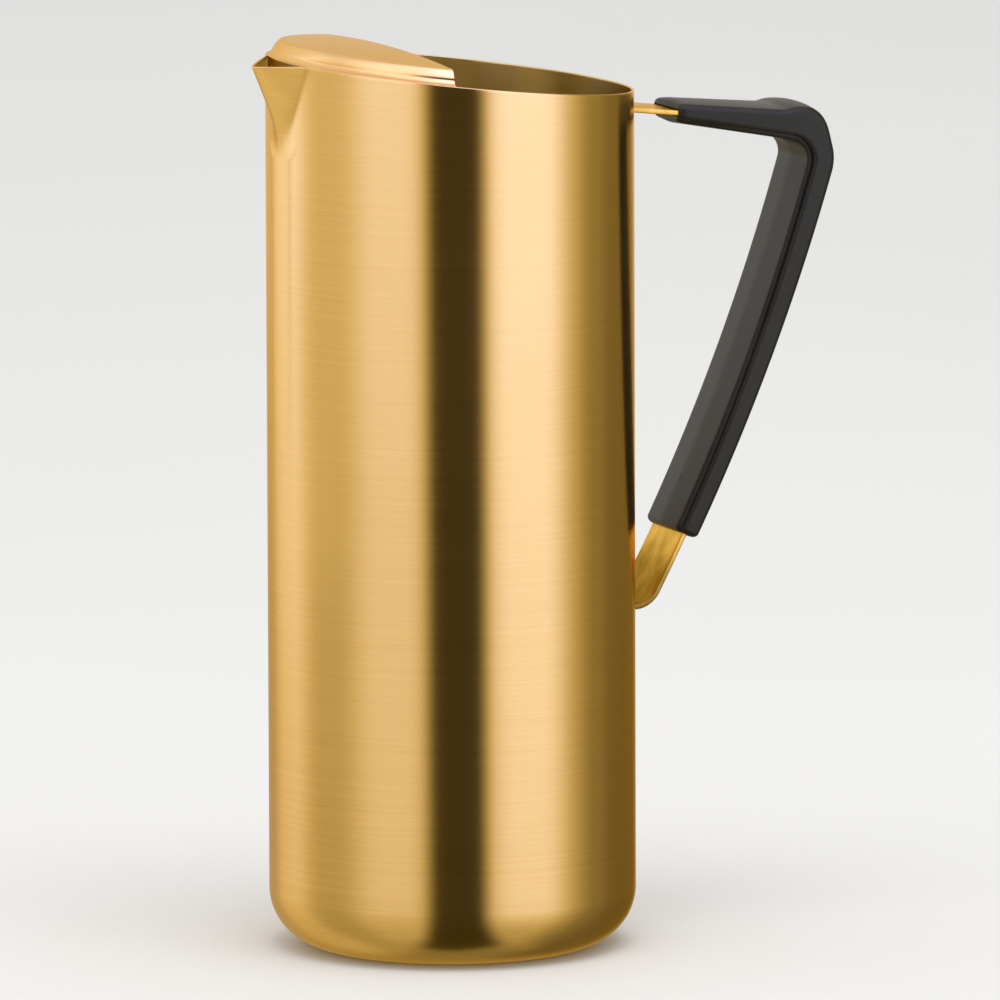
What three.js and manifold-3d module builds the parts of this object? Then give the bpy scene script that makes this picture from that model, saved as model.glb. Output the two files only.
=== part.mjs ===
// A tall water pitcher in gold-toned steel: a drawn base, a thin cylinder with a slanted mouth and a pressed
// pouring lip, an ice guard over the lip, and a flat strap handle with a moulded grip.
// Millimetres, +Z up. The origin lies on the table, under the cylinder's axis.
// The handle points along +X and the lip along -X.

import * as THREE from 'three';
import { mergeVertices } from 'three/addons/utils/BufferGeometryUtils.js';
import Module from 'manifold-3d';

const { clamp, degToRad, lerp, smoothstep } = THREE.MathUtils;

// Vessel
const bodyRadius = 52; // outside of the wall
const bodySheet = 0.8; // steel of the wall and the base
const rimHeight = 248.8; // mouth, at the cylinder's axis
const rimSlope = 0.111; // fall of the mouth for each millimetre along +X
const baseCorner = 16.5; // outside radius from wall to floor
const seamLand = 5.5; // straight wall of the base, above its corner

// Pouring lip
const lipReach = 7.9; // tip, past the wall
const lipHalfWidth = 15.2; // centre line to crease, at the mouth
const lipRootHalfWidth = 4; // the same, where the crease fades out
const lipDepth = 28; // mouth down to where the crease fades out
const lipDip = 1.3; // tip, below the mouth's edge at the creases
const lipEase = 0.55; // share of the depth in which the ridge curves out of the wall
const lipRoundness = 0.2; // 0 is a knife-sharp ridge

// Ice guard
const guardSheet = 0.8;
const guardCut = 19; // straight edge, from the cylinder's axis
const guardFlange = 1.5; // width of the flange, whose edge lies inside the mouth
const guardFoot = 0.9; // upright foot of the skirt, above the flange
const guardSkirt = 2; // height of the leaning skirt above its foot
const guardLean = 1.1; // how far the skirt leans in
const guardShoulderWidth = 2.4; // rounding between skirt and plate
const guardShoulderHeight = 1;
const guardCrown = 1.2; // rise of the plate from its shoulder inwards

// Handle strap
const strapThickness = 1.5;
const strapTopWidth = 16.5; // at the upper seat
const strapLowWidth = 22; // at the lower seat
const strapBelowRim = 6.9; // mouth down to the strap's middle line, at the wall
const handleSpan = 141.9; // between the two seats
const handleReach = 57.6; // middle line past the wall, at its farthest
const armFall = degToRad(6.8); // slope of the arm away from the wall
const upperBend = 10.5; // radii of the middle line
const lowerBend = 8;
const legBow = degToRad(12); // turn of the leg between the two bends

// Handle grip: plastic around the strap, at the mouth on the arm, at the bend and along the leg
const gripMouthOut = 14.8; // wall to the grip's upper end, along the strap
const gripLowBare = 26.5; // grip's lower end to the wall, along the strap
const gripMouthCover = { over: 1.9, under: 2, beside: 0.9 };
const gripBendCover = { over: 2.7, under: 4.2, beside: 3.2 };
const gripLegCover = { over: 3.4, under: 2.9, beside: 3.2 };
const gripEndCover = { over: 2.8, under: 2.5, beside: 1.9 };
const gripCorner = 2.2; // edge rounding
const thumbRise = 2.2; // low hump on the outside of the bend
const thumbOut = 5; // middle of the hump, past the start of the bend
const thumbHalfLength = 8;

// Clearances
const weldGap = 0.3; // guard to mouth, strap to wall
const gripFit = 0.3; // strap to grip

// Fineness of the faceted surfaces
const wallColumns = 56;
const lipColumns = 8;
const lipLevels = 6;
const roundSegments = 64;
const cornerSteps = 3;
const bendStep = degToRad(12);
const straightStep = 14;

const manifold = await Module();
manifold.setup();

// Geometry with the given corners and triangles
function meshGeometry(corners, triangles) {
  const geometry = new THREE.BufferGeometry().setFromPoints(corners);
  geometry.setIndex(triangles);
  geometry.computeVertexNormals();
  return geometry;
}

// Closed geometry as a solid that can be cut
function toSolid(geometry) {
  const bare = geometry.clone();
  bare.deleteAttribute('normal');
  bare.deleteAttribute('uv');
  const welded = mergeVertices(bare);
  return new manifold.Manifold(new manifold.Mesh({
    numProp: 3,
    vertProperties: new Float32Array(welded.attributes.position.array),
    triVerts: new Uint32Array(welded.index.array),
  }));
}

function toGeometry(solid) {
  const { vertProperties, triVerts } = solid.getMesh();
  const geometry = new THREE.BufferGeometry();
  geometry.setAttribute('position', new THREE.BufferAttribute(vertProperties, 3));
  geometry.setIndex(new THREE.BufferAttribute(triVerts, 1));
  geometry.computeVertexNormals();
  return geometry;
}

// Skin over loops of points that close on themselves, where the last loop joins the first
function closedGrid(loops) {
  const count = loops[0].length;
  const triangles = [];
  loops.forEach((loop, row) => {
    const next = (row + 1) % loops.length;
    loop.forEach((point, step) => {
      const after = (step + 1) % count;
      const [a, b, c, d] = [row * count + step, next * count + step, next * count + after, row * count + after];
      triangles.push(a, b, c, a, c, d);
    });
  });
  return meshGeometry(loops.flat(), triangles);
}

// Skin over a row of rings, with a flat cap on the first and the last
function loft(rings) {
  const count = rings[0].length;
  const triangles = [];
  for (let row = 0; row < rings.length - 1; row++) {
    for (let step = 0; step < count; step++) {
      const after = (step + 1) % count;
      const [a, b, c, d] = [step, after, after + count, step + count].map((corner) => corner + row * count);
      triangles.push(a, b, c, a, c, d);
    }
  }
  const last = (rings.length - 1) * count;
  for (let step = 1; step < count - 1; step++) {
    triangles.push(0, step + 1, step, last, last + step, last + step + 1);
  }
  return meshGeometry(rings.flat(), triangles);
}

// Outline of a sheet: a line of points, and the same line moved to its left by the sheet's thickness
function sheetOutline(line, thickness) {
  const normals = line.slice(1).map((point, step) => {
    const along = point.clone().sub(line[step]).normalize();
    return new THREE.Vector2(-along.y, along.x);
  });
  const moved = line.map((point, step) => {
    const before = normals[Math.max(step - 1, 0)];
    const after = normals[Math.min(step, normals.length - 1)];
    const shift = before.clone().add(after).multiplyScalar(thickness / (1 + before.dot(after)));
    return point.clone().add(shift);
  });
  return [...line, ...moved.reverse()];
}

// Turned solid with its axis along Z, from a profile of radius and height
function turned(profile) {
  return new THREE.LatheGeometry(profile, roundSegments).rotateX(Math.PI / 2);
}

// Height of the slanted mouth over a point of the plan
function mouthHeight(x) {
  return rimHeight - rimSlope * x;
}

const seamHeight = baseCorner + seamLand;
const lipFoot = mouthHeight(-bodyRadius) - lipDepth;

// Bulge of the lip's ridge from its foot, 0, to the mouth, 1: a curve out of the wall, then straight
function lipRidge(rise) {
  const bulge = rise < lipEase ? rise ** 2 / (2 * lipEase) : rise - lipEase / 2;
  return bulge / (1 - lipEase / 2);
}

// Section of the lip from its ridge, 0, to its crease, 1: a V with a rounded point
function lipSection(across) {
  const sharp = Math.hypot(1, lipRoundness) - Math.hypot(across, lipRoundness);
  return sharp / (Math.hypot(1, lipRoundness) - lipRoundness);
}

// Angle of the lip's crease around the axis, from the lip's centre line
function creaseAngle(rise) {
  return Math.asin(lerp(lipRootHalfWidth, lipHalfWidth, rise) / bodyRadius);
}

// Plan of the tube's outside in one column: the lip's columns come first, then the round wall's
function tubePlan(column, rise) {
  const crease = creaseAngle(rise);
  if (column > lipColumns) {
    const angle = lerp(crease, 2 * Math.PI - crease, (column - lipColumns) / wallColumns);
    return new THREE.Vector2(-Math.cos(angle), -Math.sin(angle)).multiplyScalar(bodyRadius);
  }
  const across = lerp(-1, 1, column / lipColumns);
  const creaseX = bodyRadius * Math.cos(crease);
  const ridgeX = bodyRadius + lipReach * lipRidge(rise);
  const x = lerp(creaseX, ridgeX, lipSection(Math.abs(across)));
  return new THREE.Vector2(-x, -across * bodyRadius * Math.sin(crease));
}

// Top edge of the tube in one column
function tubeTop(column) {
  if (column > lipColumns) return mouthHeight(tubePlan(column, 1).x);
  const across = Math.abs(lerp(-1, 1, column / lipColumns));
  return mouthHeight(-bodyRadius * Math.cos(creaseAngle(1))) - lipDip * (1 - across);
}

// Point of the tube's outside: level 0 is the seam, level 1 the lip's foot, the last level the mouth
function tubePoint(column, level) {
  const rise = Math.max(level - 1, 0) / lipLevels;
  const plan = tubePlan(column, rise);
  const height = level === 0 ? seamHeight : lerp(lipFoot, tubeTop(column), rise);
  return new THREE.Vector3(plan.x, plan.y, height);
}

function bodyTubeGeometry() {
  const columns = lipColumns + wallColumns;
  const topLevel = lipLevels + 1;
  const outside = Array.from({ length: columns }, (_, column) => (
    Array.from({ length: topLevel + 1 }, (__, level) => tubePoint(column, level))
  ));
  const inward = (column, level) => {
    const around = outside[(column + 1) % columns][level].clone();
    around.sub(outside[(column + columns - 1) % columns][level]);
    const up = outside[column][Math.min(level + 1, topLevel)].clone();
    up.sub(outside[column][Math.max(level - 1, 0)]);
    return up.cross(around).normalize();
  };
  const loops = outside.map((line, column) => {
    const inside = line.map((point, level) => point.clone().addScaledVector(inward(column, level), bodySheet));
    return [...line, ...inside.reverse()];
  });
  return closedGrid(loops);
}

function baseCupGeometry() {
  const floorRadius = bodyRadius - baseCorner;
  const outside = new THREE.Path()
    .moveTo(0, 0)
    .lineTo(floorRadius, 0)
    .absarc(floorRadius, baseCorner, baseCorner, -Math.PI / 2, 0, false)
    .lineTo(bodyRadius, seamHeight);
  return turned(sheetOutline(outside.getPoints(4), bodySheet));
}

// Stamped as a round cap, cut straight across, and set into the slanted mouth
function iceGuardGeometry() {
  const flangeEdge = bodyRadius - bodySheet - weldGap;
  const skirtFoot = flangeEdge - guardFlange;
  const skirtFrom = guardSheet + guardFoot;
  const skirtTop = skirtFrom + guardSkirt;
  const plateEdge = skirtFoot - guardLean - guardShoulderWidth;
  const plateTop = skirtTop + guardShoulderHeight;
  const plateEnd = guardCut / 2;
  const outside = new THREE.Path()
    .moveTo(flangeEdge, guardSheet)
    .lineTo(skirtFoot, guardSheet)
    .lineTo(skirtFoot, skirtFrom)
    .lineTo(skirtFoot - guardLean, skirtTop)
    .quadraticCurveTo(skirtFoot - guardLean - guardShoulderWidth / 3, plateTop, plateEdge, plateTop)
    .lineTo(plateEnd, plateTop + guardCrown);
  const outline = sheetOutline(outside.getPoints(4), guardSheet);
  const cap = turned([...outline, outline[0]]);
  const keptSize = 2 * bodyRadius;
  const kept = new THREE.BoxGeometry(keptSize, 2 * keptSize, keptSize);
  kept.translate(-guardCut - keptSize / 2, 0, 0);
  const slant = new THREE.Matrix4().set(
    1, 0, rimSlope, 0,
    0, 1, 0, 0,
    -rimSlope, 0, 1, rimHeight,
    0, 0, 0, 1,
  );
  return toGeometry(toSolid(cap).intersect(toSolid(kept))).applyMatrix4(slant);
}

// Lean of the leg from the vertical, midway between the bends, so that it joins them smoothly
function legFit(bendStart, lowSeat) {
  let lean = 0;
  let top;
  let foot;
  const rounds = 40;
  for (let round = 0; round < rounds; round++) {
    const leanTop = lean - legBow / 2;
    const leanFoot = lean + legBow / 2;
    top = bendStart.clone();
    top.x += upperBend * (Math.cos(leanTop) - Math.sin(armFall));
    top.y -= upperBend * (Math.sin(leanTop) + Math.cos(armFall));
    foot = lowSeat.clone();
    foot.x += lowerBend * Math.cos(leanFoot);
    foot.y += lowerBend * (1 - Math.sin(leanFoot));
    lean = Math.atan2(top.x - foot.x, top.y - foot.y);
  }
  return { lean, radius: top.distanceTo(foot) / (2 * Math.sin(legBow / 2)) };
}

// The strap's middle line in the XZ plane, as straight and bent runs. It starts and ends inside the wall,
// where the strap is trimmed.
function handleRoute() {
  const trim = strapLowWidth / 4;
  const topSeat = new THREE.Vector2(bodyRadius, mouthHeight(bodyRadius) - strapBelowRim);
  const lowSeat = new THREE.Vector2(bodyRadius, topSeat.y - handleSpan);
  const bendStartX = bodyRadius + handleReach - upperBend * (1 - Math.sin(armFall));
  const arm = (bendStartX - bodyRadius) / Math.cos(armFall);
  const bendStart = new THREE.Vector2(bendStartX, topSeat.y - arm * Math.sin(armFall));
  const { lean, radius: legRadius } = legFit(bendStart, lowSeat);
  const runs = [
    { length: trim + arm, radius: Infinity },
    { length: upperBend * (Math.PI / 2 + lean - legBow / 2 - armFall), radius: upperBend },
    { length: legRadius * legBow, radius: legRadius },
    { length: lowerBend * (Math.PI / 2 - lean - legBow / 2), radius: lowerBend },
    { length: trim, radius: Infinity },
  ];
  const start = new THREE.Vector2(-Math.cos(armFall), Math.sin(armFall)).multiplyScalar(trim).add(topSeat);
  const length = runs.reduce((sum, run) => sum + run.length, 0);
  return { start, runs, trim, arm, length };
}

const route = handleRoute();
const bendFrom = route.trim + route.arm;
const bendTo = bendFrom + route.runs[1].length;
const gripFrom = route.trim + gripMouthOut;
const gripTo = route.length - route.trim - gripLowBare;

// Place and heading of the middle line at a distance along it
function routeAt(distance) {
  const place = route.start.clone();
  let heading = -armFall;
  let left = distance;
  for (const { length, radius } of route.runs) {
    const step = Math.min(left, length);
    const ahead = heading - step / radius;
    if (radius === Infinity) {
      place.x += step * Math.cos(heading);
      place.y += step * Math.sin(heading);
    } else {
      place.x += radius * (Math.sin(heading) - Math.sin(ahead));
      place.y += radius * (Math.cos(ahead) - Math.cos(heading));
    }
    heading = ahead;
    left -= step;
  }
  return { place, heading };
}

// Distances along the route, close together where it bends
function stations(from, to) {
  const distances = [from];
  let runStart = 0;
  for (const { length, radius } of route.runs) {
    const low = Math.max(from, runStart);
    const high = Math.min(to, runStart + length);
    const steps = Math.ceil((high - low) / Math.min(straightStep, radius * bendStep));
    for (let step = 1; step <= steps; step++) distances.push(lerp(low, high, step / steps));
    runStart += length;
  }
  return distances;
}

// Ring of points around the route: the section's x runs along Y, its y towards the handle's outside
function ringAt(distance, section) {
  const { place, heading } = routeAt(distance);
  return section.map(({ x, y }) => (
    new THREE.Vector3(place.x - y * Math.sin(heading), x, place.y + y * Math.cos(heading))
  ));
}

// Rounded rectangle from -under to over, counter-clockwise
function roundedSection(halfWidth, under, over, radius) {
  const middles = [
    [halfWidth - radius, over - radius],
    [radius - halfWidth, over - radius],
    [radius - halfWidth, radius - under],
    [halfWidth - radius, radius - under],
  ];
  return middles.flatMap(([x, y], quarter) => Array.from({ length: cornerSteps + 1 }, (_, step) => {
    const angle = (quarter + step / cornerSteps) * Math.PI / 2;
    return new THREE.Vector2(x + radius * Math.cos(angle), y + radius * Math.sin(angle));
  }));
}

function strapHalfWidth(distance) {
  return lerp(strapTopWidth, strapLowWidth, distance / route.length) / 2;
}

function handleStrapGeometry() {
  const half = strapThickness / 2;
  const rings = stations(0, route.length).map((distance) => {
    const side = strapHalfWidth(distance);
    const corners = [[side, half], [-side, half], [-side, -half], [side, -half]];
    return ringAt(distance, corners.map(([x, y]) => new THREE.Vector2(x, y)));
  });
  const clear = bodyRadius + weldGap;
  const vessel = new THREE.CylinderGeometry(clear, clear, rimHeight, roundSegments).rotateX(Math.PI / 2);
  vessel.translate(0, 0, rimHeight / 2);
  return toGeometry(toSolid(loft(rings)).subtract(toSolid(vessel)));
}

// Plastic around the strap at a distance along the route
function gripCover(distance) {
  const alongArm = clamp((distance - gripFrom) / (bendFrom - gripFrom), 0, 1);
  const roundBend = smoothstep(distance, bendFrom, bendTo);
  const downLeg = clamp((distance - bendTo) / (gripTo - bendTo), 0, 1);
  const thumb = clamp(Math.abs(distance - bendFrom - thumbOut) / thumbHalfLength, 0, 1);
  const cover = {};
  for (const face of ['over', 'under', 'beside']) {
    const arm = lerp(gripMouthCover[face], gripBendCover[face], alongArm);
    const leg = lerp(gripLegCover[face], gripEndCover[face], downLeg);
    cover[face] = lerp(arm, leg, roundBend);
  }
  cover.over += thumbRise * Math.cos(thumb * Math.PI / 2) ** 2;
  return cover;
}

function handleGripGeometry() {
  const distances = stations(gripFrom, gripTo);
  const channelHalf = strapThickness / 2 + gripFit;
  const outside = [];
  const channel = [];
  for (const distance of distances) {
    const { over, under, beside } = gripCover(distance);
    const channelSide = strapHalfWidth(distance) + gripFit;
    const corner = Math.min(gripCorner, under, over);
    const section = roundedSection(channelSide + beside, channelHalf + under, channelHalf + over, corner);
    outside.push(ringAt(distance, section));
    channel.push(ringAt(distance, roundedSection(channelSide, channelHalf, channelHalf, gripFit)));
  }
  const loops = outside[0].map((_, corner) => [
    ...outside.map((ring) => ring[corner]),
    ...channel.map((ring) => ring[corner]).reverse(),
  ]);
  return closedGrid(loops);
}

const goldSteel = new THREE.MeshStandardMaterial({ color: 0xd2a050, metalness: 1, roughness: 0.32 });
const guardSteel = new THREE.MeshStandardMaterial({ color: 0xdcb06a, metalness: 1, roughness: 0.28 });
const strapSteel = new THREE.MeshStandardMaterial({ color: 0xd2a546, metalness: 1, roughness: 0.35 });
const blackGrip = new THREE.MeshStandardMaterial({ color: 0x2c2c2d, metalness: 0, roughness: 0.55 });

function part(name, geometry, material) {
  const mesh = new THREE.Mesh(geometry, material);
  mesh.name = name;
  return mesh;
}

const vessel = new THREE.Group();
vessel.add(
  part('body_tube', bodyTubeGeometry(), goldSteel),
  part('base_cup', baseCupGeometry(), goldSteel),
  part('ice_guard', iceGuardGeometry(), guardSteel),
);

const handle = new THREE.Group();
handle.add(
  part('handle_strap', handleStrapGeometry(), strapSteel),
  part('handle_grip', handleGripGeometry(), blackGrip),
);

const pitcher = new THREE.Group();
pitcher.add(vessel, handle);

export default pitcher;
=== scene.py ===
"""A gold-toned steel water pitcher with an ice guard and a gripped strap handle, on a pale floor.

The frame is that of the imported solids: the origin lies on the table under the cylinder's axis, the handle
points along +X and the pouring lip along -X. Shapes are worked out in millimetres and made in metres.
"""

from math import atan2, cos, hypot, inf, pi, radians, sin

import bmesh
import bpy
import numpy as np
from mathutils import Matrix, Vector


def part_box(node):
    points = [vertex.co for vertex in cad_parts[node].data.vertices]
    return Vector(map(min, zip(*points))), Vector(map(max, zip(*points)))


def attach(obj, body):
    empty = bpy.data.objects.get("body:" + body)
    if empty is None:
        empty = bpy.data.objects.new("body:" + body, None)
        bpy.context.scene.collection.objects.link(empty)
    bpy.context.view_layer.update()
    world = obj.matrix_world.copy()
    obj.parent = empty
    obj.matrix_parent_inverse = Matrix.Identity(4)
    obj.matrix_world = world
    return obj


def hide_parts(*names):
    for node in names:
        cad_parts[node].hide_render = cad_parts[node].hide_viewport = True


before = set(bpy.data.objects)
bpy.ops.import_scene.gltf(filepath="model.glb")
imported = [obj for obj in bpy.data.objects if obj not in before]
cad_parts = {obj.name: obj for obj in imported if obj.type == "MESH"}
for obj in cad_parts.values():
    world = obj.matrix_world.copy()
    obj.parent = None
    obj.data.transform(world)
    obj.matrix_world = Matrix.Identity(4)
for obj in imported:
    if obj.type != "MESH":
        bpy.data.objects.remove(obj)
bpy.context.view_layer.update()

MM = 0.001
MERGE_WITHIN = 1e-7

# Vessel: the frame gives its radius and its seam, and the rim's rounding turns through these degrees
BODY_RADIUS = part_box("base_cup")[1][0] / MM
SEAM_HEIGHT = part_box("base_cup")[1][2] / MM
BODY_SHEET = 0.8
RIM_HEIGHT = 248.8
RIM_SLOPE = 0.111
BASE_CORNER = 16.5
RIM_ROUND = 0.22
RIM_TURNS = (20, 45, 70, 110, 135, 160)

# Pouring lip
LIP_REACH = 7.9
LIP_HALF_WIDTH = 15.2
LIP_ROOT_HALF_WIDTH = 4.0
LIP_DEPTH = 28.0
LIP_DIP = 1.3
LIP_EASE = 0.55
LIP_ROUNDNESS = 0.2
LIP_SPAN = 1.5
CREASE_SOFTNESS = 0.5

# Ice guard
GUARD_SHEET = 0.8
GUARD_CUT = 18.5
GUARD_INSIDE = 0.3
GUARD_TOE = 0.65
GUARD_TOE_ROUND = 0.05
GUARD_FLANGE = 1.65
GUARD_FLANGE_HEIGHT = 1.45
GUARD_RISER = 0.6
GUARD_LEAN = 1.2
GUARD_LEAN_HEIGHT = 1.85
GUARD_SHOULDER_WIDTH = 2.8
GUARD_SHOULDER_HEIGHT = 0.7
GUARD_CROWN = 1.3
GUARD_EDGE_ROUND = 0.16

# Handle strap
STRAP_THICKNESS = 1.5
STRAP_TOP_WIDTH = 16.5
STRAP_LOW_WIDTH = 22.0
STRAP_EDGE = 0.35
STRAP_BELOW_RIM = 6.9
HANDLE_SPAN = 141.9
HANDLE_REACH = 57.6
ARM_FALL = radians(6.8)
UPPER_BEND = 10.5
LOWER_BEND = 8.0
LEG_BOW = radians(12)
WELD_FILLET = 0.7
WELD_SINK = 0.03

# Handle grip: plastic over, under and beside the strap
GRIP_MOUTH_OUT = 14.8
GRIP_LOW_BARE = 26.5
GRIP_MOUTH_COVER = np.array([1.9, 2.0, 0.9])
GRIP_BEND_COVER = np.array([2.7, 4.2, 3.2])
GRIP_LEG_COVER = np.array([3.4, 2.9, 3.2])
GRIP_END_COVER = np.array([2.8, 2.5, 1.9])
GRIP_FIT = 0.3
GRIP_CORNER = 1.7
GRIP_FINGER_CORNER = 2.8
GRIP_GROOVE_DEPTH = 1.4
GRIP_GROOVE_WIDTH = 2.8
GRIP_GROOVE_PLACE = 0.58
GRIP_CROWN = 1.0
GRIP_ROOF = 0.75
GRIP_END_ROUND = 1.6
GRIP_MOUTH_ROUND = 0.8
GRIP_MOUTH_TAPER = 2.4
THUMB_RISE = 2.2
THUMB_OUT = 5.0
THUMB_HALF_LENGTH = 8.0
GROOVE_STEPS = 20
GRIP_FACE_STEPS = 14
GRIP_SIDE_STEPS = 4

# Gate mark on the grip: its profile holds shares of its radius, and heights
GATE_RADIUS = 0.95
GATE_ABOVE_END = 14.5
GATE_PROFILE = [(0.0, 0.1), (0.35, 0.095), (0.6, 0.06), (0.8, 0.0), (1.0, -0.08), (0.9, -0.3), (0.0, -0.3)]

# Camera, fitted to the photograph: degrees, and millimetres in the plane through the axis
CAMERA_AZIMUTH = -23.0
CAMERA_ELEVATION = 8.61
CAMERA_DISTANCE = 4794.4
CAMERA_PIVOT_HEIGHT = 119.6
CAMERA_AIM_RIGHT = 13.8
CAMERA_AIM_HEIGHT = 126.65
CAMERA_ROLL = -0.192
CAMERA_LENS = 610.2


def lerp(low, high, share):
    return low + (high - low) * share


def ease(share):
    share = np.clip(share, 0.0, 1.0)
    return share * share * (3.0 - 2.0 * share)


def soft_max(one, other, softness):
    return 0.5 * (one + other + np.sqrt((one - other) ** 2 + softness ** 2))


# Meshes


def mesh_object(name, points, faces, sharp_angle=35.0):
    """A mesh from points in millimetres, welded, with smooth shading broken at sharp edges."""
    mesh = bpy.data.meshes.new(name)
    mesh.from_pydata((np.asarray(points) * MM).tolist(), [], faces)
    cleaner = bmesh.new()
    cleaner.from_mesh(mesh)
    bmesh.ops.remove_doubles(cleaner, verts=cleaner.verts, dist=MERGE_WITHIN)
    bmesh.ops.dissolve_degenerate(cleaner, edges=cleaner.edges, dist=MERGE_WITHIN)
    bmesh.ops.recalc_face_normals(cleaner, faces=cleaner.faces)
    cleaner.to_mesh(mesh)
    cleaner.free()
    mesh.polygons.foreach_set("use_smooth", [True] * len(mesh.polygons))
    mesh.set_sharp_from_angle(angle=radians(sharp_angle))
    piece = bpy.data.objects.new(name, mesh)
    bpy.context.collection.objects.link(piece)
    return piece


def grid_faces(rows, steps, wrap_rows=True, wrap_steps=True):
    """Quads over rows of points, closed around either way."""
    faces = []
    for row in range(rows if wrap_rows else rows - 1):
        after_row = (row + 1) % rows
        for step in range(steps if wrap_steps else steps - 1):
            after = (step + 1) % steps
            faces.append((row * steps + step, after_row * steps + step,
                          after_row * steps + after, row * steps + after))
    return faces


def closed_grid(name, loops):
    """A ring of closed loops, as a tube wall or a sleeve is."""
    rows, steps, _ = loops.shape
    return mesh_object(name, loops.reshape(-1, 3), grid_faces(rows, steps))


def turned(name, profile, segments):
    """A profile of radius and height turned about Z; it starts and ends on the axis."""
    angles = np.linspace(0.0, 2.0 * pi, segments, endpoint=False)
    radius, height = np.array(profile).T
    points = np.stack([np.outer(np.cos(angles), radius), np.outer(np.sin(angles), radius),
                       np.tile(height, (segments, 1))], axis=-1)
    return mesh_object(name, points.reshape(-1, 3), grid_faces(segments, len(profile), wrap_steps=False))


def arc(middle, radius, start, stop, steps):
    angles = np.radians(np.linspace(start, stop, steps))
    return [(middle[0] + radius * cos(a), middle[1] + radius * sin(a)) for a in angles]


def moved_left(line, distance):
    """A line of points moved to its left, with mitred corners."""
    line = np.array(line)
    along = np.diff(line, axis=0)
    along /= np.linalg.norm(along, axis=1)[:, None]
    normals = np.stack([-along[:, 1], along[:, 0]], axis=1)
    before = np.vstack([normals[:1], normals])
    after = np.vstack([normals, normals[-1:]])
    share = distance / (1.0 + np.sum(before * after, axis=1))
    return line + (before + after) * share[:, None]


# Vessel


def mouth_height(x):
    return RIM_HEIGHT - RIM_SLOPE * x


def lip_ridge(rise):
    """Bulge of the lip's ridge from its foot, 0, to the mouth, 1."""
    bulge = np.where(rise < LIP_EASE, rise ** 2 / (2.0 * LIP_EASE), rise - LIP_EASE / 2.0)
    return bulge / (1.0 - LIP_EASE / 2.0)


def lip_section(across):
    """Section of the lip from its ridge, 0, to its crease, 1, and on below the wall."""
    full = hypot(1.0, LIP_ROUNDNESS)
    return (full - np.hypot(across, LIP_ROUNDNESS)) / (full - LIP_ROUNDNESS)


def tube_skin():
    """Outside of the tube as columns of points from the seam up to the rim's rounding."""
    lip_columns, wall_columns, lip_levels = 72, 264, 44
    across = np.linspace(-LIP_SPAN, LIP_SPAN, lip_columns + 1)[:, None]
    around = np.linspace(0.0, 1.0, wall_columns + 1)[1:-1, None]
    rise = np.linspace(0.0, 1.0, lip_levels + 1)[None, :]
    half_width = lerp(LIP_ROOT_HALF_WIDTH, LIP_HALF_WIDTH, rise)

    lip_y = -across * half_width
    round_x = np.sqrt(BODY_RADIUS ** 2 - lip_y ** 2)
    crease_x = np.sqrt(BODY_RADIUS ** 2 - half_width ** 2)
    ridge = lip_ridge(rise)
    pressed_x = lerp(crease_x, BODY_RADIUS + LIP_REACH * ridge, lip_section(np.abs(across)))
    lip_x = -np.where(ridge > 0.0, soft_max(pressed_x, round_x, CREASE_SOFTNESS * ridge), round_x)

    edge = np.arcsin(LIP_SPAN * half_width / BODY_RADIUS)
    angle = lerp(edge, 2.0 * pi - edge, around)
    x = np.vstack([lip_x, -BODY_RADIUS * np.cos(angle)])
    y = np.vstack([lip_y, -BODY_RADIUS * np.sin(angle)])

    dip = LIP_DIP * np.clip(1.0 - np.abs(across[:, 0]), 0.0, 1.0)
    lip_top = mouth_height(np.maximum(lip_x[:, -1], -crease_x[0, -1])) - dip
    top = np.concatenate([lip_top, mouth_height(x[lip_columns + 1:, -1])]) - RIM_ROUND
    foot = mouth_height(-BODY_RADIUS) - LIP_DEPTH
    z = lerp(foot, top[:, None], rise)
    skin = np.stack([x, y, z], axis=-1)
    seam = skin[:, :1].copy()
    seam[..., 2] = SEAM_HEIGHT
    middle = lerp(seam, skin[:, :1], 0.5)
    return np.concatenate([seam, middle, skin], axis=1)


def body_tube():
    outside = tube_skin()
    around = np.roll(outside, -1, axis=0) - np.roll(outside, 1, axis=0)
    up = np.gradient(outside, axis=1)
    outward = np.cross(around, up)
    outward /= np.linalg.norm(outward, axis=-1, keepdims=True)
    inside = outside - BODY_SHEET * outward
    inside[:, 0, 2] = SEAM_HEIGHT
    lift = up[:, -1] / np.linalg.norm(up[:, -1], axis=-1, keepdims=True) * RIM_ROUND
    middle = (outside[:, -1] + inside[:, -1]) / 2.0
    to_edge = outside[:, -1] - middle
    rim = [middle + to_edge * cos(a) + lift * sin(a) for a in np.radians(RIM_TURNS)]
    loops = np.concatenate([outside, np.stack(rim, axis=1), inside[:, ::-1]], axis=1)
    return closed_grid("body_tube_fine", loops)


def base_cup():
    floor_radius = BODY_RADIUS - BASE_CORNER
    corner = arc((floor_radius, BASE_CORNER), BASE_CORNER, -90, 0, 25)
    outside = [(0.0, 0.0), (floor_radius / 2.0, 0.0), *corner, (BODY_RADIUS, SEAM_HEIGHT)]
    inside = moved_left(outside, BODY_SHEET)
    return turned("base_cup_fine", [*outside, *inside[::-1]], 288)


def cut_corners(line, passes):
    """A line of points rounded by cutting its corners off, again and again; its ends stay."""
    line = np.array(line)
    for _ in range(passes):
        start, stop = line[:-1], line[1:]
        between = np.stack([lerp(start, stop, 0.25), lerp(start, stop, 0.75)], axis=1).reshape(-1, 2)
        line = np.vstack([line[:1], between[1:-1], line[-1:]])
    return line


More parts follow.
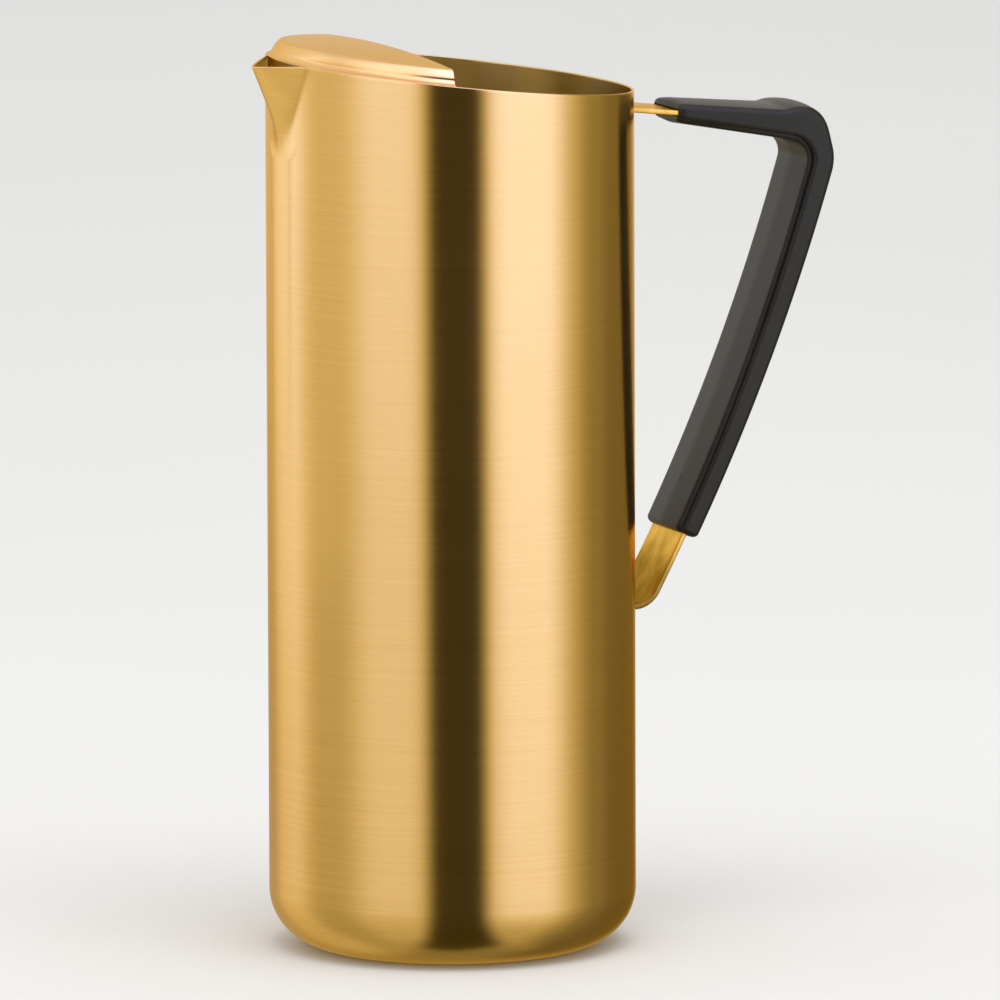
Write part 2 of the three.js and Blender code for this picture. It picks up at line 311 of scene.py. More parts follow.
def guard_line():
    """Outside of the guard's sheet as radius and height, from its toe on the rim up to the plate."""
    edge = BODY_RADIUS - GUARD_INSIDE
    riser = edge - GUARD_FLANGE
    shoulder = riser - GUARD_LEAN
    lean_from = GUARD_FLANGE_HEIGHT + GUARD_RISER
    shoulder_from = lean_from + GUARD_LEAN_HEIGHT
    top = shoulder_from + GUARD_SHOULDER_HEIGHT
    toe_low, toe_high = 0.12 * GUARD_FLANGE_HEIGHT, 0.25 * GUARD_FLANGE_HEIGHT
    toe = [(edge, 0.0), (edge - GUARD_TOE_ROUND, toe_low), (edge - GUARD_TOE, toe_high)]
    steps = [(riser, GUARD_FLANGE_HEIGHT), (riser, lean_from), (shoulder, shoulder_from)]
    plate = [(shoulder - 0.3 * GUARD_SHOULDER_WIDTH, top), (shoulder - GUARD_SHOULDER_WIDTH, top)]
    return [*toe, *steps, *plate]


def ice_guard():
    """A stamped cap on the slanted mouth, cut straight across. Its sheet is a strip of loops."""
    line = cut_corners(guard_line(), 3)
    plate_edge = line[-1, 0]
    columns, plate_rows = 121, 18
    share = np.linspace(-1.0, 1.0, columns)[:, None]

    def side(radius, height):
        """Rows of the skirt, each an arc that ends on the cut, and then of the plate."""
        angle = share * np.arccos(GUARD_CUT / radius)[None, :]
        x, y = -radius * np.cos(angle), radius * np.sin(angle)
        h = np.tile(height, (columns, 1))
        in_plate = np.linspace(0.0, 1.0, plate_rows + 1)[None, 1:]
        plate_x = lerp(x[:, -1:], -GUARD_CUT, in_plate)
        plate_y = lerp(y[:, -1:], share * y[-1, -1], in_plate)
        crown = (plate_edge ** 2 - plate_x ** 2 - plate_y ** 2) / (plate_edge ** 2 - GUARD_CUT ** 2)
        plate_h = h[:, -1:] + GUARD_CROWN * np.clip(crown, 0.0, None)
        x, y, h = np.hstack([x, plate_x]), np.hstack([y, plate_y]), np.hstack([h, plate_h])
        return np.stack([x + RIM_SLOPE * h, y, mouth_height(x) + h], axis=-1)

    under = cut_corners(moved_left(guard_line(), GUARD_SHEET), 3)
    loops = np.concatenate([side(*line.T), side(*under.T)[:, ::-1]], axis=1)
    steps = loops.shape[1]
    faces = grid_faces(columns, steps, wrap_rows=False)
    for row in (0, columns - 1):
        for step in range(steps // 2 - 1):
            mate = steps - 1 - step
            faces.append([row * steps + corner for corner in (step, step + 1, mate - 1, mate)])
    piece = mesh_object("ice_guard_fine", loops.reshape(-1, 3), faces)
    soften_edges(piece, GUARD_EDGE_ROUND)
    return piece


def soften_edges(piece, width):
    """Rounds the cut edges of a sheet."""
    bevel = piece.modifiers.new("edge_rounding", "BEVEL")
    bevel.width = width * MM
    bevel.segments = 2
    bevel.limit_method = "ANGLE"
    bevel.angle_limit = radians(50)


# Handle


def leg_fit(bend_start, low_seat):
    """Lean of the leg midway between the bends and its radius, so that it joins both smoothly."""
    lean = 0.0
    for _ in range(40):
        lean_top, lean_foot = lean - LEG_BOW / 2.0, lean + LEG_BOW / 2.0
        turn = np.array([cos(lean_top) - sin(ARM_FALL), -sin(lean_top) - cos(ARM_FALL)])
        top = bend_start + UPPER_BEND * turn
        foot = low_seat + LOWER_BEND * np.array([cos(lean_foot), 1.0 - sin(lean_foot)])
        lean = atan2(top[0] - foot[0], top[1] - foot[1])
    return lean, np.linalg.norm(top - foot) / (2.0 * sin(LEG_BOW / 2.0))


class HandleRoute:
    """The strap's middle line in the XZ plane: arm, bend, leg, bend, and a short end inside the wall."""

    def __init__(self):
        self.trim = STRAP_LOW_WIDTH / 4.0
        top_seat = np.array([BODY_RADIUS, mouth_height(BODY_RADIUS) - STRAP_BELOW_RIM])
        low_seat = top_seat - np.array([0.0, HANDLE_SPAN])
        bend_x = BODY_RADIUS + HANDLE_REACH - UPPER_BEND * (1.0 - sin(ARM_FALL))
        arm = (bend_x - BODY_RADIUS) / cos(ARM_FALL)
        bend_start = np.array([bend_x, top_seat[1] - arm * sin(ARM_FALL)])
        lean, leg_radius = leg_fit(bend_start, low_seat)
        self.start = top_seat + self.trim * np.array([-cos(ARM_FALL), sin(ARM_FALL)])
        self.runs = [
            (self.trim + arm, inf),
            (UPPER_BEND * (pi / 2.0 + lean - LEG_BOW / 2.0 - ARM_FALL), UPPER_BEND),
            (leg_radius * LEG_BOW, leg_radius),
            (LOWER_BEND * (pi / 2.0 - lean - LEG_BOW / 2.0), LOWER_BEND),
            (self.trim, inf),
        ]
        self.length = sum(length for length, _ in self.runs)
        self.bend_from = self.runs[0][0]
        self.bend_to = self.bend_from + self.runs[1][0]
        self.grip_from = self.trim + GRIP_MOUTH_OUT
        self.grip_to = self.length - self.trim - GRIP_LOW_BARE

    def at(self, distance):
        """Place, and heading in radians, at a distance along the line."""
        place, heading, left = self.start.copy(), -ARM_FALL, distance
        for length, radius in self.runs:
            step = min(left, length)
            if radius == inf:
                place += step * np.array([cos(heading), sin(heading)])
            else:
                ahead = heading - step / radius
                place += radius * np.array([sin(heading) - sin(ahead), cos(ahead) - cos(heading)])
                heading = ahead
            left -= step
        return place, heading

    def ring(self, distance, section):
        """Section points around the line: across along Y, then away from the fingers."""
        place, heading = self.at(distance)
        across, out = np.asarray(section).T
        return np.stack([place[0] - out * sin(heading), across, place[1] + out * cos(heading)], axis=-1)

    def strap_half_width(self, distance):
        return lerp(STRAP_TOP_WIDTH, STRAP_LOW_WIDTH, distance / self.length) / 2.0


route = HandleRoute()


def rounded_section(half_width, under, over, radius, corner_steps=6, face_steps=10, side_steps=2):
    """Rounded rectangle from -under to over, counter-clockwise, with points along its faces."""
    middles = [(half_width - radius, over - radius), (radius - half_width, over - radius),
               (radius - half_width, radius - under), (half_width - radius, radius - under)]
    corners = [arc(middle, radius, 90 * quarter, 90 * (quarter + 1), corner_steps + 1)
               for quarter, middle in enumerate(middles)]
    return joined_corners(corners, face_steps, side_steps)


def joined_corners(corners, face_steps, side_steps):
    points = []
    for quarter, corner in enumerate(corners):
        steps = side_steps if quarter % 2 else face_steps
        last, following = np.array(corner[-1]), np.array(corners[(quarter + 1) % 4][0])
        points += list(corner)
        points += [tuple(lerp(last, following, step / steps)) for step in range(1, steps)]
    return np.array(points)


def on_wall(ring, heading_x, radius):
    """Moves a ring along X until each point lies on the round wall."""
    placed = ring.copy()
    placed[:, 0] = np.sqrt(radius ** 2 - ring[:, 1] ** 2)
    placed[:, 2] += (placed[:, 0] - ring[:, 0]) * heading_x
    return placed


def handle_strap():
    half = STRAP_THICKNESS / 2.0

    def section(distance, grown=0.0):
        side = route.strap_half_width(distance) + grown
        return rounded_section(side, half + grown, half + grown, STRAP_EDGE + grown)

    def welded_end(distance, slope, outward):
        """Rings of a small fillet that spreads the strap's end onto the wall."""
        rings = []
        for turn in np.radians(np.linspace(0, 90, 7)):
            grown = WELD_FILLET * (1.0 - sin(turn))
            clear = WELD_FILLET * (1.0 - cos(turn))
            ring = route.ring(distance, section(distance, grown))
            rings.append(on_wall(ring, slope, BODY_RADIUS - WELD_SINK + clear))
        return rings if outward else rings[::-1]

    def spaced(low, high, step):
        return np.linspace(low, high, int(np.ceil((high - low) / step)) + 1)

    stations = np.concatenate([
        spaced(route.trim + 1.5, route.bend_from, 4.0)[:-1],
        spaced(route.bend_from, route.bend_to, 0.8)[:-1],
        spaced(route.bend_to, route.length - route.trim - route.runs[3][0], 4.0)[:-1],
        spaced(route.length - route.trim - route.runs[3][0], route.length - route.trim - 1.2, 0.5),
    ])
    rings = welded_end(route.trim, -np.tan(ARM_FALL), True)
    rings += [route.ring(distance, section(distance)) for distance in stations]
    rings += welded_end(route.length - route.trim, 0.0, False)
    points = np.stack(rings)
    rows, steps, _ = points.shape
    faces = grid_faces(rows, steps, wrap_rows=False)
    faces.append(list(range(steps)))
    faces.append([(rows - 1) * steps + step for step in range(steps)])
    return mesh_object("handle_strap_fine", points.reshape(-1, 3), faces)


def grip_cover(distance):
    """Plastic over, under and beside the strap at a distance along the route."""
    along_arm = np.clip((distance - route.grip_from) / (route.bend_from - route.grip_from), 0.0, 1.0)
    round_bend = ease((distance - route.bend_from) / (route.bend_to - route.bend_from))
    down_leg = np.clip((distance - route.bend_to) / (route.grip_to - route.bend_to), 0.0, 1.0)
    arm = lerp(GRIP_MOUTH_COVER, GRIP_BEND_COVER, along_arm)
    leg = lerp(GRIP_LEG_COVER, GRIP_END_COVER, down_leg)
    cover = lerp(arm, leg, round_bend)
    thumb = np.clip(abs(distance - route.bend_from - THUMB_OUT) / THUMB_HALF_LENGTH, 0.0, 1.0)
    cover[0] += THUMB_RISE * cos(thumb * pi / 2.0) ** 2
    return cover


def grooved_corner(across, out, radius, depth, turned_back):
    """Finger-side corner of the grip, from flank to finger side, with the moulding's parting groove."""
    turns = np.linspace(0.0, 1.0, GROOVE_STEPS + 1)
    sunk = depth * ease(1.0 - np.abs(turns - GRIP_GROOVE_PLACE) * radius * pi / GRIP_GROOVE_WIDTH)
    reach = radius - sunk
    flank = np.sign(across)
    angle = turns * pi / 2.0
    corner = np.stack([across + flank * reach * np.cos(angle), out - reach * np.sin(angle)], axis=1)
    return corner[::-1] if turned_back else corner


def grip_section(distance, inset):
    """Rounded section with a crowned outside, and a faint ridge between grooves on the finger side."""
    over, under, beside = grip_cover(distance) - inset
    half = STRAP_THICKNESS / 2.0 + GRIP_FIT
    side = route.strap_half_width(distance) + GRIP_FIT + beside
    tall = over + under + 2.0 * half
    top, low = min(GRIP_CORNER, 0.4 * tall), min(GRIP_FINGER_CORNER, 0.5 * tall)
    depth = min(GRIP_GROOVE_DEPTH, 0.5 * beside, 0.5 * under)
    corners = [
        arc((side - top, half + over - top), top, 0, 90, GROOVE_STEPS + 1),
        arc((top - side, half + over - top), top, 90, 180, GROOVE_STEPS + 1),
        grooved_corner(low - side, low - half - under, low, depth, False),
        grooved_corner(side - low, low - half - under, low, depth, True),
    ]
    across, out = joined_corners(corners, GRIP_FACE_STEPS, GRIP_SIDE_STEPS).T
    crown = np.where(out > 0.0, min(GRIP_CROWN, over / 2.0) * out / (half + over), 0.0)
    roof = np.where(out < 0.0, min(GRIP_ROOF, under / 3.0) * out / (half + under), 0.0)
    spread = np.hypot(across / side, 0.05)
    return np.stack([across, out + crown * (0.5 - spread ** 2) + roof * (0.4 - spread)], axis=-1)


def handle_grip():
    half = STRAP_THICKNESS / 2.0 + GRIP_FIT
    mouth_turns = np.radians(np.linspace(0, 90, 6))
    stations = [(route.grip_from + GRIP_MOUTH_TAPER * (1.0 - sin(a)), GRIP_MOUTH_ROUND * (1.0 - cos(a)))
                for a in mouth_turns[::-1]]
    body_from, body_to = route.grip_from + GRIP_MOUTH_TAPER, route.grip_to - GRIP_END_ROUND
    for low, high, step in ((body_from, route.bend_from - 6.0, 3.0),
                            (route.bend_from - 6.0, route.bend_to + 6.0, 0.5),
                            (route.bend_to + 6.0, body_to, 3.0)):
        count = int(np.ceil((high - low) / step))
        stations += [(lerp(low, high, share / count), 0.0) for share in range(1, count + 1)]
    stations += [(route.grip_to - GRIP_END_ROUND * (1.0 - sin(a)), GRIP_END_ROUND * (1.0 - cos(a)))
                 for a in np.radians(np.linspace(10, 90, 9))]
    outside = [route.ring(distance, grip_section(distance, inset)) for distance, inset in stations]
    channel = []
    for distance, _ in stations:
        side = route.strap_half_width(distance) + GRIP_FIT
        section = rounded_section(side, half, half, STRAP_EDGE + GRIP_FIT,
                                  GROOVE_STEPS, GRIP_FACE_STEPS, GRIP_SIDE_STEPS)
        channel.append(route.ring(distance, section))
    loops = np.concatenate([np.stack(outside, axis=1), np.stack(channel[::-1], axis=1)], axis=1)
    return closed_grid("handle_grip_fine", loops)


def gate_mark():
    """The small round scar of the moulding's gate, on the finger side near the lower end."""
    distance = route.grip_to - GATE_ABOVE_END
    place, heading = route.at(distance)
    depth = -grip_section(distance, 0.0)[:, 1].min()
    profile = [(GATE_RADIUS * share, height) for share, height in GATE_PROFILE]
    piece = turned("grip_gate_mark", profile[::-1], 32)
    inward = Vector((sin(heading), 0.0, -cos(heading)))
    seat = Vector((place[0], 0.0, place[1])) + inward * depth
    turn = Vector((0.0, 0.0, 1.0)).rotation_difference(inward).to_matrix().to_4x4()
    piece.data.transform(Matrix.Translation(seat * MM) @ turn)
    return piece


# Shaders


def set_stops(elements, stops):
    """Gives a colour ramp, which starts with two stops, each position and colour in turn."""
    for index, (position, colour) in enumerate(stops):
        element = elements[index] if index < 2 else elements.new(position)
        element.position = position
        element.color = (*colour, 1.0)


class Sock:
    """A shader socket that takes part in sums: each operation adds a Math node to its tree."""

    def __init__(self, tree, socket=None):
        self.tree = tree
        self.socket = socket

    def node(self, kind, settings=None, sockets=None, output=0):
        """Any other node: its settings first, then the values or links of its sockets."""
        made = self.tree.nodes.new(kind)
        for key, value in (settings or {}).items():
            if key == "stops":
                set_stops(made.color_ramp.elements, value)
            else:
                setattr(made, key, value)
        for key, value in (sockets or {}).items():
            if isinstance(value, Sock):
                self.tree.links.new(value.socket, made.inputs[key])
            else:
                made.inputs[key].default_value = value
        return Sock(self.tree, made.outputs[output] if made.outputs else None)

    def output(self, name):
        """Another output of the same node."""
        return Sock(self.tree, self.socket.node.outputs[name])

    def math(self, operation, *values):
        return self.node("ShaderNodeMath", {"operation": operation}, dict(enumerate(values)))

    def __add__(self, other):
        return self.math("ADD", self, other)

    def __sub__(self, other):
        return self.math("SUBTRACT", self, other)

    def __rsub__(self, other):
        return self.math("SUBTRACT", other, self)

    def __mul__(self, other):
        return self.math("MULTIPLY", self, other)

    __radd__ = __add__
    __rmul__ = __mul__

    def noise(self, place, stretch, detail=3.0, roughness=0.55):
        """Noise from 0 to 1 whose grains have 1 / stretch metres along each axis."""
        scaled = self.node("ShaderNodeVectorMath", {"operation": "MULTIPLY"}, {0: place, 1: stretch})
        return self.node("ShaderNodeTexNoise", None,
                         {"Vector": scaled, "Scale": 1.0, "Detail": detail, "Roughness": roughness})

    def spread(self, low, high, to_low=0.0, to_high=1.0):
        """Eases from to_low at low to to_high at high."""
        return self.node("ShaderNodeMapRange", {"interpolation_type": "SMOOTHSTEP"},
                         {0: self, 1: low, 2: high, 3: to_low, 4: to_high})

    def mix(self, low, high):
        """Colour between low, at 0, and high, at 1."""
        return self.node("ShaderNodeMix", {"data_type": "RGBA"}, {0: self, 6: low, 7: high}, output=2)

    def bump(self, distance, strength=1.0, normal=None):
        sockets = {"Height": self, "Distance": distance, "Strength": strength}
        if normal is not None:
            sockets["Normal"] = normal
        return self.node("ShaderNodeBump", None, sockets)


def new_material(name):
    """An empty material, its sums, and the place on the surface in metres."""
    material = bpy.data.materials.new(name)
    material.use_nodes = True
    material.node_tree.nodes.clear()
    sums = Sock(material.node_tree)
    place = sums.node("ShaderNodeTexCoord", output=3)
    return material, sums, place


def finish_material(sums, shader):
    sums.node("ShaderNodeOutputMaterial", None, {"Surface": shader})


def brushed_gold(name, pale, deep, grain, roughness, anisotropy, turn,
                 blotch=(22.0, 0.4), inside_reflection=None, low_shade=None):
    """Gold-toned steel with brush lines, blotches of tone and a slightly uneven surface.

    A colour of painted reflection, standing in for the light bounced round inside, can colour what faces
    the axis; painted shade can darken the metal from one height down to the weld's.
    """
    material, sums, place = new_material(name)
    blotch_scale, blotch_share = blotch
    fine = sums.noise(place, grain, 3.0, 0.6)
    broad = sums.noise(place, tuple(0.2 * g for g in grain), 2.0, 0.5)
    cloud = sums.noise(place, (blotch_scale, blotch_scale, 0.5 * blotch_scale), 2.0, 0.5)
    swell = sums.noise(place, (14.0, 14.0, 6.0), 1.0, 0.4)
    lines = fine * 0.75 + broad * 0.25
    tone = lines * (1.0 - blotch_share) + cloud * blotch_share
    colour = tone.spread(0.3, 0.7).mix(deep, pale)
    rough = (lines - 0.5) * 0.12 + (cloud - 0.5) * 0.04 + roughness
    # Painted reflection: what faces the axis gets its own colour, standing in for the light bounced round
    # inside the pitcher.
    if inside_reflection:
        flat = sums.node("ShaderNodeVectorMath", {"operation": "MULTIPLY"}, {0: place, 1: (1.0, 1.0, 0.0)})
        facing = sums.node("ShaderNodeNewGeometry", output=1)
        outward = sums.node("ShaderNodeVectorMath", {"operation": "DOT_PRODUCT"},
                            {0: flat, 1: facing}, output=1)
        colour = outward.spread(-0.012, 0.0).mix(inside_reflection, colour)
        rough = rough + outward.spread(-0.012, 0.0, 0.05, 0.0)
    # Painted shade: darker from one height down to the weld's, standing in for the dark reflections low on
    # the strap.
    if low_shade:
        tint, weld, clear = low_shade
        height = sums.node("ShaderNodeSeparateXYZ", None, {0: place}, output=2) + (cloud - 0.5) * 0.02
        colour = height.spread(weld * MM, clear * MM).mix(tint, colour)
    uneven = swell.bump(0.0006, 0.12)
    normal = lines.bump(0.00002, 0.1, uneven)
    finish_material(sums, sums.node("ShaderNodeBsdfPrincipled", None, {
        "Base Color": colour, "Metallic": 1.0, "Roughness": rough, "Normal": normal,
        "Anisotropic": anisotropy, "Anisotropic Rotation": turn, "Specular Tint": (0.88, 0.69, 0.4, 1.0),
    }))
    return material


def satin_grip():
    """Black moulded plastic with a fine spark-eroded grain and slightly duller patches."""
    material, sums, place = new_material("satin_black_grip")
    grain = sums.noise(place, (2600.0, 2600.0, 2600.0), 2.0, 0.5)
    patches = sums.noise(place, (60.0, 60.0, 60.0), 3.0, 0.5)
    colour = patches.spread(0.3, 0.7).mix((0.01, 0.0102, 0.0097, 1.0), (0.014, 0.0142, 0.0135, 1.0))
    rough = (grain - 0.5) * 0.1 + (patches - 0.5) * 0.1 + 0.4
    normal = grain.bump(0.00004, 0.3)
    finish_material(sums, sums.node("ShaderNodeBsdfPrincipled", None, {
        "Base Color": colour, "Roughness": rough, "Normal": normal, "Specular IOR Level": 0.4,
    }))
    return material


def pale_floor():
    material, sums, place = new_material("pale_floor")
    shade = sums.noise(place, (3.0, 3.0, 3.0), 2.0, 0.5).spread(0.2, 0.8)
    colour = shade.mix((0.80, 0.80, 0.79, 1.0), (0.82, 0.82, 0.81, 1.0))
    finish_material(sums, sums.node("ShaderNodeBsdfPrincipled", None, {
        "Base Color": colour, "Roughness": 0.9, "Specular IOR Level": 0.1,
    }))
    return material


# Studio


CAMERA_BEARING = radians(CAMERA_AZIMUTH - 90.0)
DOME_RADIUS = 2.4
FLOOR_HALF_SIZE = 8.0
SURROUNDINGS_LEVEL = 0.85

# Light round the dome: strength, then middle, half width and soft edge in degrees to the camera's right
WALL_LEVEL = 0.655
WALL_PATCHES = [(-0.42, 75.0, 80.0, 20.0), (-0.045, 126.0, 10.0, 14.0), (0.05, -150.0, 8.0, 14.0)]
LOW_WALL_PATCH = (-0.045, -84.0, 10.0, 18.0)
PANELS = [(0.28, -38.0, 8.0, 32.0), (0.36, -124.0, 6.0, 30.0), (0.95, 49.0, 8.0, 44.0),
          (0.05, 98.0, 8.0, 12.0)]
UNDERNEATH_LEVEL = 0.42

# The dark gap by the camera: its middle and its fade sideways, as shares of the dome's radius
GAP_MIDDLE = 0.062
GAP_FADE = (0.19, 0.385)
GAP_DEPTH = 0.99

# Tones from the dimmest light, which is brown, to the brightest, which is cool
BRIGHTEST = 1.3
LIGHT_TONES = [(0.01, (0.048, 0.037, 0.006)), (0.32, (0.415, 0.333, 0.117)), (0.52, (0.68, 0.555, 0.25)),
               (0.71, (0.92, 0.785, 0.54)), (0.815, (1.06, 1.0, 0.98)), (1.0, (1.3, 1.32, 1.5))]

# Panels behind the pitcher: middle, half width and soft edge, the rise of their lower fade, and colour
BACK_PANELS = [
    ((180.0, 16.0, 14.0), (-0.1, 0.02), (0.80, 0.75, 0.65, 1.0)),
    ((207.0, 8.0, 9.0), (-0.06, 0.02), (0.88, 0.82, 0.72, 1.0)),
    ((228.0, 10.0, 9.0), (0.0, 0.08), (0.88, 0.83, 0.74, 1.0)),
]
LOW_BACK_PANEL = (204.0, 4.0, 22.0)
LOW_BACK_COLOUR = (0.54, 0.49, 0.4, 1.0)

# The ceiling: dim behind the pitcher, brighter by the camera, and a bright lamp to its right
CEILING_DIM = (0.76, 0.67, 0.62, 1.0)
CEILING_BRIGHT = (1.42, 1.26, 1.42, 1.0)
CEILING_LAMP = (2.0, 1.8, 3.0, 1.0)


def add_camera():
    """The photograph's camera: it turns round the axis, and aims a little beside it."""
    azimuth, elevation = radians(CAMERA_AZIMUTH), radians(CAMERA_ELEVATION)
    ahead = Vector((-sin(azimuth), cos(azimuth), 0.0))
    right = Vector((cos(azimuth), sin(azimuth), 0.0))
    up = Vector((0.0, 0.0, 1.0))
    place = up * CAMERA_PIVOT_HEIGHT + (up * sin(elevation) - ahead * cos(elevation)) * CAMERA_DISTANCE
    aim = right * CAMERA_AIM_RIGHT + up * CAMERA_AIM_HEIGHT
    look = (aim - place).normalized()
    side = look.cross(up).normalized()
    top = side.cross(look)
    roll = radians(CAMERA_ROLL)
    side, top = side * cos(roll) + top * sin(roll), top * cos(roll) - side * sin(roll)
    data = bpy.data.cameras.new("photo_camera")
    data.sensor_width = 36.0
    data.lens = CAMERA_LENS
    data.clip_end = 50.0
    camera = bpy.data.objects.new("photo_camera", data)
    camera.matrix_world = Matrix.Translation(place * MM) @ Matrix((side, top, -look)).transposed().to_4x4()
    bpy.context.collection.objects.link(camera)
    bpy.context.scene.camera = camera


def add_floor():
    size = FLOOR_HALF_SIZE
    corners = [(-size, -size, 0.0), (size, -size, 0.0), (size, size, 0.0), (-size, size, 0.0)]
    mesh = bpy.data.meshes.new("studio_floor")
    mesh.from_pydata(corners, [], [(0, 1, 2, 3)])
    floor = bpy.data.objects.new("studio_floor", mesh)
    bpy.context.collection.objects.link(floor)
    floor.data.materials.append(pale_floor())
    floor.visible_glossy = False


def add_studio_dome():
    """A dome of bright panels and a dark gap round the set. Only reflections show it, as bands."""
    shell = bmesh.new()
    bmesh.ops.create_uvsphere(shell, u_segments=96, v_segments=48, radius=DOME_RADIUS)
    mesh = bpy.data.meshes.new("studio_dome")
    shell.to_mesh(mesh)
    shell.free()
    dome = bpy.data.objects.new("studio_dome", mesh)
    bpy.context.collection.objects.link(dome)
    dome.data.materials.append(studio_panels())
    for kind in ("camera", "diffuse", "transmission", "volume_scatter", "shadow"):
        setattr(dome, "visible_" + kind, False)


def studio_panels():
    """Light by bearing from the camera and by rise: walls, panels, a dark gap and a ceiling."""
    material, sums, place = new_material("studio_panels")
    split = sums.node("ShaderNodeSeparateXYZ", None, {0: place})
    x, y, z = (split.output(axis) for axis in "XYZ")
    azimuth = radians(CAMERA_AZIMUTH)
    bearing = sums.math("ARCTAN2", y, x) - CAMERA_BEARING
    rise = z * (1.0 / DOME_RADIUS)

    def patch(middle, half, edge):
        away = sums.math("ABSOLUTE", sums.math("WRAP", bearing - radians(middle), pi, -pi))
        return away.spread(radians(half), radians(half + edge), 1.0, 0.0)

    def lit(strength, *where):
        return strength * patch(*where)

    walls = sum((lit(*wall) for wall in WALL_PATCHES), WALL_LEVEL)
    walls = walls + lit(*LOW_WALL_PATCH) * rise.spread(-0.09, -0.05, 1.0, 0.0)
    panels = sum(lit(*panel) for panel in PANELS) * rise.spread(-0.75, -0.2, 0.5, 1.0)
    level = (walls + panels) * rise.spread(-0.2, 0.03, 0.72, 1.2)
    level = level + (UNDERNEATH_LEVEL - level) * rise.spread(-0.98, -0.8, 1.0, 0.0)

    sideways = (x * cos(azimuth) + y * sin(azimuth)) * (1.0 / DOME_RADIUS)
    beside = sums.math("ABSOLUTE", sideways - GAP_MIDDLE)
    ahead = sums.math("MAXIMUM", patch(0.0, 60.0, 20.0), rise.spread(-0.95, -0.5, 0.35, 0.0))
    level = level * (1.0 - beside.spread(*GAP_FADE, GAP_DEPTH, 0.0) * ahead)
    light = sums.node("ShaderNodeValToRGB", {"stops": LIGHT_TONES}, {0: level * (1.0 / BRIGHTEST)})

    for where, fade, colour in BACK_PANELS:
        light = (patch(*where) * rise.spread(*fade)).mix(light, colour)
    low = rise.spread(-0.14, -0.06, 1.0, 0.0) * rise.spread(-0.6, -0.4)
    light = (patch(*LOW_BACK_PANEL) * low).mix(light, LOW_BACK_COLOUR)
    above = patch(0.0, 60.0, 60.0).mix(CEILING_DIM, CEILING_BRIGHT)
    above = patch(32.0, 20.0, 30.0).mix(above, CEILING_LAMP)
    light = rise.spread(0.68, 0.85).mix(light, above)
    finish_material(sums, sums.node("ShaderNodeBsdfPrincipled", None, {
        "Base Color": (0.0, 0.0, 0.0, 1.0), "Specular IOR Level": 0.0,
        "Emission Color": light, "Emission Strength": 1.0,
    }))
    return material


def add_world():
    """White surroundings that light the set a little less. The metal shows the dome before them."""
    world = bpy.data.worlds.new("white_studio")
    world.use_nodes = True
    world.node_tree.nodes.clear()
    sums = Sock(world.node_tree)
    path = sums.node("ShaderNodeLightPath")
    seen = path.output("Is Camera Ray")
    for ray in ("Is Glossy Ray", "Is Transmission Ray"):
        seen = sums.math("MAXIMUM", seen, path.output(ray))
    colour = (1.0, 1.0, 1.0, 1.0)
    around = sums.node("ShaderNodeBackground", None, {"Color": colour, "Strength": SURROUNDINGS_LEVEL})
    white = sums.node("ShaderNodeBackground", None, {"Color": colour, "Strength": 1.0})
    mixed = sums.node("ShaderNodeMixShader", None, {0: seen, 1: around, 2: white})
    sums.node("ShaderNodeOutputWorld", None, {"Surface": mixed})
    bpy.context.scene.world = world


def add_softbox(name, aim, bearing, elevation, distance, size, power):
    """A soft lamp at a bearing, in degrees to the camera's right, aimed at a place on the pitcher."""
    data = bpy.data.lights.new(name, "AREA")
    data.shape = "RECTANGLE"
    data.size, data.size_y = size
    data.energy = power
    lamp = bpy.data.objects.new(name, data)
    angle, rise = CAMERA_BEARING + radians(bearing), radians(elevation)
    away = Vector((cos(angle) * cos(rise), sin(angle) * cos(rise), sin(rise)))
    lamp.location = Vector(aim) + distance * away
    lamp.rotation_euler = (Vector(aim) - lamp.location).to_track_quat("-Z", "Y").to_euler()
    lamp.visible_camera = False
    bpy.context.collection.objects.link(lamp)
    return lamp


# The pitcher

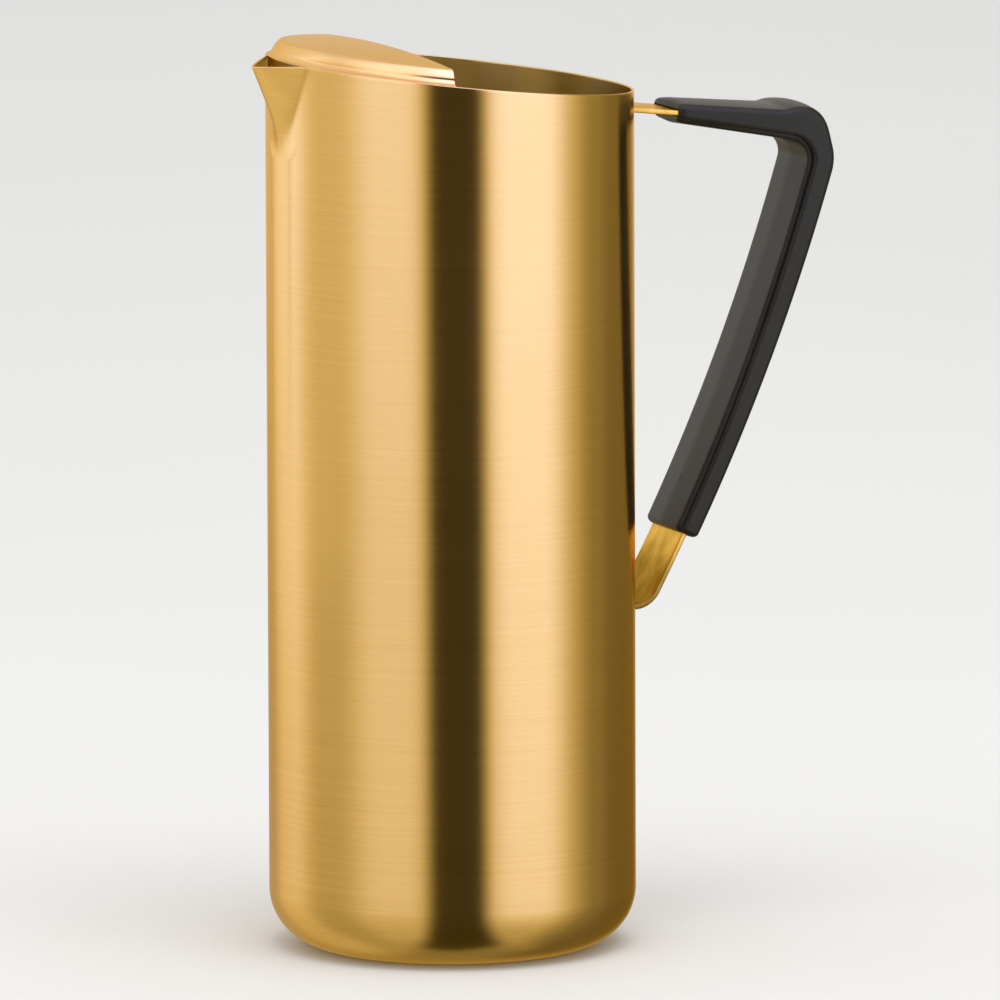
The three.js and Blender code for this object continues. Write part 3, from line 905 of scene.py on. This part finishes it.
PIECES = [
    (body_tube, "body_tube", "gold_steel"),
    (base_cup, "base_cup", "gold_steel"),
    (ice_guard, "ice_guard", "guard_steel"),
    (handle_strap, "handle_strap", "strap_steel"),
    (handle_grip, "handle_grip", "black_grip"),
    (gate_mark, None, "black_grip"),
]

MATERIALS = {
    # The body's inside colour is a painted reflection, standing in for the light bounced round inside.
    "gold_steel": brushed_gold(
        "brushed_gold_body", pale=(0.97, 0.7, 0.375, 1.0), deep=(0.89, 0.635, 0.33, 1.0),
        grain=(12.0, 12.0, 3000.0), roughness=0.2, anisotropy=0.8, turn=0.25,
        inside_reflection=(0.92, 0.76, 0.36, 1.0)),
    "guard_steel": brushed_gold(
        "satin_gold_guard", pale=(0.98, 0.675, 0.33, 1.0), deep=(0.95, 0.65, 0.31, 1.0),
        grain=(900.0, 20.0, 900.0), roughness=0.25, anisotropy=0.2, turn=0.25),
    # The strap's low end is darkened with painted shade, from 120 mm down to the weld at 92 mm.
    "strap_steel": brushed_gold(
        "brushed_gold_strap", pale=(1.0, 0.66, 0.17, 1.0), deep=(0.72, 0.45, 0.09, 1.0),
        grain=(90.0, 2600.0, 90.0), roughness=0.28, anisotropy=0.4, turn=0.0,
        blotch=(170.0, 0.75), low_shade=((0.24, 0.15, 0.03, 1.0), 92.0, 120.0)),
    "black_grip": satin_grip(),
}

for make, node, slot in PIECES:
    piece = make()
    piece.data.materials.append(MATERIALS[slot])
    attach(piece, "root")
    if node:
        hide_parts(node)

add_camera()
add_floor()
add_studio_dome()
add_world()
overhead = add_softbox("overhead_softbox", aim=(0.0, 0.0, 0.16), bearing=20.0, elevation=72.0,
                       distance=2.2, size=(1.6, 1.2), power=18.0)
overhead.visible_glossy = False
lip_light = add_softbox("lip_light", aim=(-0.055, -0.005, 0.243), bearing=-86.0, elevation=-35.0,
                        distance=0.19, size=(0.24, 0.12), power=0.0034)
lip_light.data.spread = radians(60)
lip_light.data.color = (1.0, 0.86, 0.56)
bpy.context.scene.view_settings.view_transform = "Standard"
